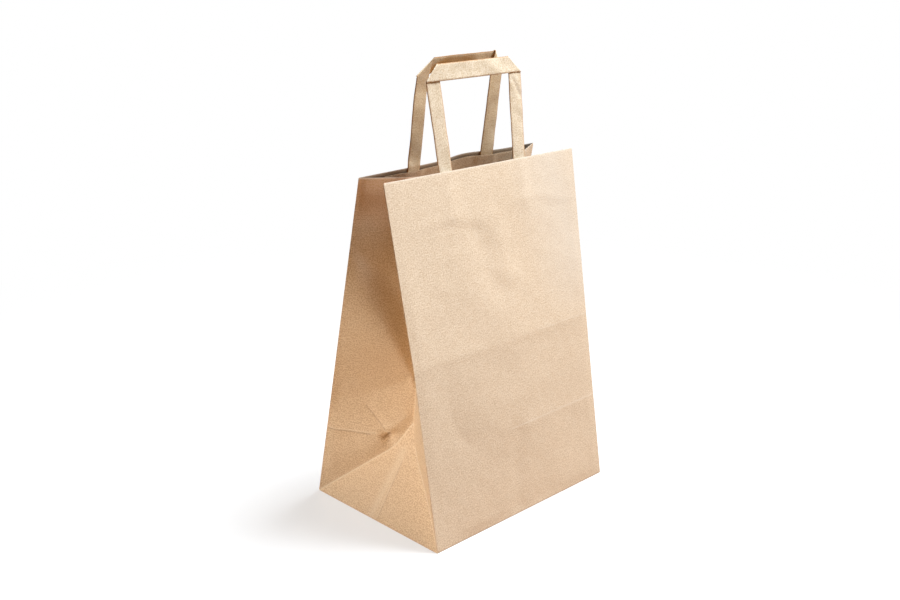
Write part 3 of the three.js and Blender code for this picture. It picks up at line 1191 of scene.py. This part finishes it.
def outside_colour(tree, place, tone, on_side, pale, deep, mottle_share):
    """The paper's colour by its tone, with specks of bark."""
    reach = add_node(
        tree, "ShaderNodeMapRange", {"To Min": TONE_REACH, "To Max": SIDE_TONE_REACH}, {"Value": on_side}
    ).outputs["Result"]
    middle = TONE_MIDDLE + mottle_share / 2
    lowest, highest = [
        add_node(tree, "ShaderNodeMath", {"operation": "MULTIPLY_ADD", "1": side, "2": middle}, {"0": reach})
        for side in (-1, 1)
    ]
    share = add_node(
        tree,
        "ShaderNodeMapRange",
        {},
        {"Value": tone, "From Min": lowest.outputs["Value"], "From Max": highest.outputs["Value"]},
    )
    paper = add_node(
        tree,
        "ShaderNodeMix",
        {"data_type": "RGBA", "6": linear(deep), "7": linear(pale)},
        {"0": share.outputs["Result"]},
    )
    cells = add_node(tree, "ShaderNodeTexVoronoi", {"Scale": 1 / SPECK_SPACING}, {"Vector": place})
    speck = add_node(
        tree,
        "ShaderNodeMapRange",
        {"From Min": SPECK_SIZE / SPECK_SPACING, "From Max": 0.0, "To Max": SPECK_SHARE},
        {"Value": cells.outputs["Distance"]},
    )
    speckled = add_node(
        tree,
        "ShaderNodeMix",
        {"data_type": "RGBA", "7": linear(SPECK_COLOUR)},
        {"0": speck.outputs["Result"], "6": paper.outputs[2]},
    )
    return speckled.outputs[2]


print("Specks are about", round(SPECK_SPACING / MM), "mm apart")

# %% [markdown]
# Inside, little light gets in: the inner faces get a greyer tint of painted shade, and behind the lit left
# side a warm painted glow of light through the paper. The inner faces are known from Solidify's vertex
# group. The folds rubbed pale with a painted highlight, and those with painted shade, come from the
# attribute that was kept before folding: it falls off beside a fold, and a power makes the line narrow.

# %% Inside and worn edges
# Painted shade on the inner faces
INSIDE_SHADE_TINT = "#9A856C"
# Painted warm glow of light through the paper, on the left side's inner faces
SIDE_INSIDE_GLOW = "#C98A4C"
# Rubbed pale paper, also used as a painted highlight on folds and ridges
RUB_AND_HIGHLIGHT = "#FAEEDC"
# Painted shade along dark folds and the strips' edges
EDGE_SHADE_COLOUR = "#B98552"
EDGE_SHARPNESS = 2.5


def inside_shaded_and_lit(tree, colour, inside, on_side, inside_shade_share):
    """Paints greyer shade over a colour on the inner faces, and a warm glow of light on the left side's."""
    darker = add_node(
        tree, "ShaderNodeMath", {"operation": "MULTIPLY", "1": inside_shade_share}, {"0": inside}
    )
    inside_shade_and_glow = add_node(
        tree,
        "ShaderNodeMix",
        {"data_type": "RGBA", "6": linear(INSIDE_SHADE_TINT), "7": linear(SIDE_INSIDE_GLOW)},
        {"0": on_side},
    )
    tinted = add_node(
        tree,
        "ShaderNodeMix",
        {"data_type": "RGBA"},
        {"0": darker.outputs["Value"], "6": colour, "7": inside_shade_and_glow.outputs[2]},
    )
    return tinted.outputs[2]


def paint_edge_light_and_wear(tree, colour):
    """Rubs the marked folds pale, with a painted highlight, where their wear is above zero, and draws
    painted shade where it is below.
    """
    edge = add_node(tree, "ShaderNodeAttribute", {"attribute_name": "edge_wear_and_light"}, {}).outputs["Fac"]
    for sign, edge_colour in ((1, RUB_AND_HIGHLIGHT), (-1, EDGE_SHADE_COLOUR)):
        wear = add_node(
            tree, "ShaderNodeMapRange", {"From Min": 0.0, "From Max": sign}, {"Value": edge}
        ).outputs["Result"]
        narrow = add_node(
            tree, "ShaderNodeMath", {"operation": "POWER", "1": EDGE_SHARPNESS}, {"0": wear}
        ).outputs["Value"]
        colour = add_node(
            tree,
            "ShaderNodeMix",
            {"data_type": "RGBA", "7": linear(edge_colour)},
            {"0": narrow, "6": colour},
        ).outputs[2]
    return colour


print("Inside colour in linear light:", [round(channel, 3) for channel in linear(INSIDE_SHADE_TINT)])

# %% [markdown]
# All the papers here are kraft, so one function builds the material, and each paper gives it its own
# colours, mottle, creases and painted light and shade. Kraft is rough and not glazed: it has hardly any
# highlight.

# %% Kraft paper material
# The left side starts here on the unrolled sheet
SIDE_START = 2 * BAG_WIDTH + BAG_DEPTH
BUMP_STRENGTH = 0.8
BUMP_HEIGHT = 0.12 * MM
# Cellulose has an IOR near 1.5, and a rough surface scatters most of its gloss
PAPER_IOR = 1.45
PAPER_GLOSS = 0.25


def kraft_paper(name, pale, deep, mottle_share, roughness, creases=(), inside_shade_share=0, inside_shade_marks=()):
    """Matte unbleached kraft: mottle, pulp grain, fibres, specks of bark and creases, with painted
    highlights and shade on creases, bands and edges, and painted shade inside.
    """
    material = bpy.data.materials.new(name)
    material.use_nodes = True
    tree = material.node_tree
    tree.nodes.clear()
    place = add_node(tree, "ShaderNodeUVMap", {"uv_map": "sheet"}, {}).outputs["UV"]
    across = add_node(tree, "ShaderNodeSeparateXYZ", {}, {"Vector": place}).outputs["X"]
    on_side = add_node(
        tree, "ShaderNodeMath", {"operation": "GREATER_THAN", "1": SIDE_START}, {"0": across}
    ).outputs["Value"]
    inside = add_node(tree, "ShaderNodeAttribute", {"attribute_name": "inside"}, {}).outputs["Fac"]
    tone = pulp_tone(tree, place, mottle_share)
    colour = outside_colour(tree, place, tone, on_side, pale, deep, mottle_share)
    # Crease lines and bands of painted light, then painted shade inside, then the folds' wear and painted
    # light
    colour = creased(tree, place, colour, creases, None)
    colour = inside_shaded_and_lit(tree, colour, inside, on_side, inside_shade_share)
    colour = creased(tree, place, colour, inside_shade_marks, inside)
    colour = paint_edge_light_and_wear(tree, colour)
    bump = add_node(
        tree, "ShaderNodeBump", {"Strength": BUMP_STRENGTH, "Distance": BUMP_HEIGHT}, {"Height": tone}
    )
    shader = add_node(
        tree,
        "ShaderNodeBsdfPrincipled",
        {"Roughness": roughness, "IOR": PAPER_IOR, "Specular IOR Level": PAPER_GLOSS},
        {"Base Color": colour, "Normal": bump.outputs["Normal"]},
    )
    add_node(tree, "ShaderNodeOutputMaterial", {}, {"Surface": shader.outputs["BSDF"]})
    print(name, "has", len(tree.nodes), "nodes")
    return material


# %% [markdown]
# The bag's own sheet has fine creases on the left side around its pinch, in the base triangle and on the
# front: pale ridges with a painted highlight, and grooves with dirt and painted shade. Two wide soft bands
# are painted light: a warm glow under the left rim and a pale highlight on the upper right corner, as the
# picture shows them. Inside, painted shade darkens the back panel in its right corner and along its rim.

# %% Paper of the sheet
# Dirt and painted shade in a groove
GROOVE_DIRT_AND_SHADE = "#8A5E38"
# Painted warm light under the left rim
WARM_RIM_GLOW = "#F5B678"
# Painted highlight on the front's upper right corner
PALE_CORNER_HIGHLIGHT = "#F4F0E6"
# Painted deep shade inside the bag
DEEP_INSIDE_SHADE = "#35261A"
# Start and end on the unrolled sheet, width, colour and share
SHEET_CREASES_AND_LIGHT = [
    # Pale ridges with a painted highlight and grooves with dirt and painted shade; in the pinch a painted
    # highlight and a dab of painted shade
    ((603, 72), (639, 77), 1.1, RUB_AND_HIGHLIGHT, 0.5),
    ((639, 77), (657, 79), 1.1, RUB_AND_HIGHLIGHT, 0.4),
    ((602, 70.6), (642, 75.6), 1.3, GROOVE_DIRT_AND_SHADE, 0.35),
    ((634, 101), (657, 80.5), 1.3, GROOVE_DIRT_AND_SHADE, 0.25),
    ((655, 80.5), (659, 80), 1.5, RUB_AND_HIGHLIGHT, 0.9),
    ((659, 77), (655, 73), 2.5, GROOVE_DIRT_AND_SHADE, 0.6),
    ((680, 0), (680, 60), 1.0, RUB_AND_HIGHLIGHT, 0.4),
    ((681.3, 0), (681, 56), 1.2, GROOVE_DIRT_AND_SHADE, 0.2),
    ((673, 0), (677, 62), 7, RUB_AND_HIGHLIGHT, 0.4),
    ((104, 80), (220, 80), 1.1, RUB_AND_HIGHLIGHT, 0.4),
    ((150, 160), (219, 160), 1.0, RUB_AND_HIGHLIGHT, 0.25),
    # Wide bands of painted light: warm under the left rim, pale on the front's upper right
    ((602, 312), (690, 312), 44, WARM_RIM_GLOW, 0.55),
    ((190, 305), (212, 215), 60, PALE_CORNER_HIGHLIGHT, 0.3),
]
INSIDE_SHADE_MARKS = [
    # Painted shade inside: the back panel's right corner, and a line along its rim
    ((381, 318), (396, 318), 15, DEEP_INSIDE_SHADE, 0.9),
    ((400, 311.5), (600, 311.5), 4, DEEP_INSIDE_SHADE, 0.5),
]
# Machine-made sheet: even, fine grain and no highlight
sheet_paper = kraft_paper(
    "kraft_paper_sheet",
    pale="#F6E3CA",
    deep="#D7BE9E",
    mottle_share=0.12,
    roughness=0.9,
    creases=SHEET_CREASES_AND_LIGHT,
    inside_shade_share=0.5,
    inside_shade_marks=INSIDE_SHADE_MARKS,
)

# %% [markdown]
# The strips are several layers pasted together, and look blotchier and a little smoother. The rear one is
# a shaded copy of the same paper: painted yellower and warmer as shade, with patches of painted shade near
# a fold and on both legs. The patches are plain paper that hardly shows.

# %% Papers of the strips and patches
# Patches of painted shade on the rear strip: near its fold and on both legs
REAR_STRIP_SHADE = [
    ((0, 226), (14, 222), 17, GROOVE_DIRT_AND_SHADE, 0.4),
    ((0, 286), (14, 292), 14, GROOVE_DIRT_AND_SHADE, 0.3),
    ((0, 88), (14, 82), 10, GROOVE_DIRT_AND_SHADE, 0.25),
]
# Pressed layers: pale, blotchy and a little smoother
strip_paper = kraft_paper(
    "kraft_paper_strip", pale="#F8E9D1", deep="#D6C09E", mottle_share=0.4, roughness=0.85
)
# The same paper, painted yellower as shade, with patches of painted shade
shaded_strip_paper = kraft_paper(
    "kraft_paper_strip_shaded",
    pale="#FDEBCB",
    deep="#DFC499",
    mottle_share=0.4,
    roughness=0.85,
    creases=REAR_STRIP_SHADE,
)
# Unprinted offcut: a shade darker and quite matte
patch_paper = kraft_paper(
    "kraft_paper_patch", pale="#EFD8BA", deep="#CFB18C", mottle_share=0.3, roughness=0.9
)

# %% [markdown]
# Each piece now takes the place of its node of the imported part, which is hidden. Nothing on the bag moves
# on its own, so all pieces ride on the root, and each piece gets its kind of paper.

# %% Hang the pieces on the part
for piece, node, slot, material in (
    (paper_body, "bag_body", "kraft_sheet", sheet_paper),
    (front_handle, "front_handle", "kraft_strip", strip_paper),
    (rear_handle, "rear_handle", "kraft_strip", shaded_strip_paper),
    (front_patch, "front_handle_patch", "kraft_patch", patch_paper),
    (rear_patch, "rear_handle_patch", "kraft_patch", patch_paper),
):
    piece.data.materials.append(material)
    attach(piece, "root")
    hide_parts(node)
    print(piece.name, "stands for", node)

# %% [markdown]
# ## Floor, light and view
# The picture was taken on white. A floor far larger than the view takes the bag's soft shadow, and has no
# edge to be seen.

# %% Floor
FLOOR_SIZE = 60
floor_mesh = bmesh.new()
bmesh.ops.create_grid(floor_mesh, x_segments=1, y_segments=1, size=FLOOR_SIZE / 2)
floor_data = bpy.data.meshes.new("floor")
floor_mesh.to_mesh(floor_data)
floor_mesh.free()
floor = bpy.data.objects.new("floor", floor_data)
bpy.context.scene.collection.objects.link(floor)
print("Floor is", FLOOR_SIZE, "m wide")

# %% [markdown]
# A renderer sends out rays. Some show a surface to the eye, directly or in gloss, and others only ask how
# much light it throws back. The Light Path node tells them apart, so floor and world can look white and
# still light the bag less.


# %% Rays that show the background
def seen_share(tree):
    """One for rays that show the background, directly, in gloss or through glass, and zero for light."""
    ray = add_node(tree, "ShaderNodeLightPath", {}, {})
    share = ray.outputs["Is Camera Ray"]
    for kind in ("Is Glossy Ray", "Is Transmission Ray"):
        share = add_node(
            tree, "ShaderNodeMath", {"operation": "MAXIMUM"}, {"0": share, "1": ray.outputs[kind]}
        ).outputs["Value"]
    return share


# %% [markdown]
# A white floor alone would turn grey away from the lamps. So the board is part matte and part glowing
# white, and the glow takes over with the distance from the bag. Light that it throws back is warmer and
# weaker than what is seen of it, so the folded sides keep their depth.

# %% White floor that fades into the background
SHADOW_SHARE = 0.4
SHADOW_REACH = 0.9
FLOOR_COLOUR = "#FAF9F8"
BOUNCE_COLOUR = "#90683C"
WHITE = "#FFFFFF"

# White matte board: no gloss, so the shadow on it is clean
floor_material = bpy.data.materials.new("white_matte_board")
floor_material.use_nodes = True
board = floor_material.node_tree
board.nodes.clear()
board_seen = seen_share(board)
board_colour = add_node(
    board,
    "ShaderNodeMix",
    {"data_type": "RGBA", "6": linear(BOUNCE_COLOUR), "7": linear(FLOOR_COLOUR)},
    {"0": board_seen},
)
board_matte = add_node(board, "ShaderNodeBsdfDiffuse", {}, {"Color": board_colour.outputs[2]})
board_glow = add_node(board, "ShaderNodeEmission", {"Color": linear(WHITE), "Strength": 1.0}, {})
board_place = add_node(board, "ShaderNodeTexCoord", {}, {}).outputs["Object"]
board_distance = add_node(board, "ShaderNodeVectorMath", {"operation": "LENGTH"}, {"0": board_place})
whiteness = add_node(
    board,
    "ShaderNodeMapRange",
    {
        "interpolation_type": "SMOOTHSTEP",
        "From Max": SHADOW_REACH,
        "To Min": 1 - SHADOW_SHARE,
        "To Max": 1.0,
    },
    {"Value": board_distance.outputs["Value"]},
)
seen_white = add_node(
    board, "ShaderNodeMath", {"operation": "MULTIPLY"}, {"0": board_seen, "1": whiteness.outputs["Result"]}
)
board_mix = add_node(
    board,
    "ShaderNodeMixShader",
    {},
    {
        "0": seen_white.outputs["Value"],
        "1": board_matte.outputs["BSDF"],
        "2": board_glow.outputs["Emission"],
    },
)
add_node(board, "ShaderNodeOutputMaterial", {}, {"Surface": board_mix.outputs["Shader"]})
floor.data.materials.append(floor_material)
print(floor_material.name, "has", len(board.nodes), "nodes")

# %% [markdown]
# The world is the studio around the bag. It is seen as plain white, but lights the bag only with a weak
# warm glow, so that the shaded side and the inside stay deep and warm. A bright white world would wash
# out every fold.

# %% World
AMBIENT = 0.07
AMBIENT_COLOUR = "#FFC48E"
world = bpy.data.worlds.new("studio")
bpy.context.scene.world = world
world.use_nodes = True
sky = world.node_tree
sky.nodes.clear()
sky_seen = seen_share(sky)
sky_strength = add_node(
    sky, "ShaderNodeMapRange", {"To Min": AMBIENT, "To Max": 1.0}, {"Value": sky_seen}
)
sky_colour = add_node(
    sky,
    "ShaderNodeMix",
    {"data_type": "RGBA", "6": linear(AMBIENT_COLOUR), "7": linear(WHITE)},
    {"0": sky_seen},
)
sky_light = add_node(
    sky,
    "ShaderNodeBackground",
    {},
    {"Color": sky_colour.outputs[2], "Strength": sky_strength.outputs["Result"]},
)
add_node(sky, "ShaderNodeOutputWorld", {}, {"Surface": sky_light.outputs["Background"]})
print("Ambient light:", AMBIENT)

# %% [markdown]
# A large high lamp from the front right lights the front panel. A weak one with a narrow beam, low at the
# left, opens up the folded side. A tiny warm lamp inside the bag stands for the light that comes through
# the paper: real translucency would need far more samples for the same faint glow.


# %% Lamps
def soft_lamp(name, place, target, sides, spread, watts, colour):
    """A lamp that faces a target: the width and height of its screen, and its beam in degrees."""
    data = bpy.data.lights.new(name, "AREA")
    data.shape = "RECTANGLE"
    data.size, data.size_y = sides
    data.spread = math.radians(spread)
    data.energy = watts
    data.color = linear(colour)[:3]
    lamp = bpy.data.objects.new(name, data)
    lamp.location = place
    lamp.rotation_euler = (Vector(target) - Vector(place)).to_track_quat("-Z", "Y").to_euler()
    bpy.context.scene.collection.objects.link(lamp)
    print(name, watts, "W")


soft_lamp(
    "key_lamp",
    place=(0.72, -0.52, 2.06),
    target=(0, -0.05, 0.2),
    sides=(0.9, 0.9),
    spread=180,
    watts=106,
    colour="#EFF7FF",
)
soft_lamp(
    "fill_lamp",
    place=(-1.6, 0.2, 0.5),
    target=(-0.1, 0, 0.069),
    sides=(0.9, 0.3),
    spread=15,
    watts=0.665,
    colour="#FFF2E2",
)
soft_lamp(
    "glow_lamp",
    place=(0, -0.005, 0.2),
    target=(-0.02, 0.02, 0.3),
    sides=(0.05, 0.02),
    spread=100,
    watts=0.009,
    colour="#FFCD9A",
)

# %% [markdown]
# The Standard view shows colours as they were set, where Filmic or AgX would soften them.

# %% Finish
bpy.context.scene.view_settings.view_transform = "Standard"
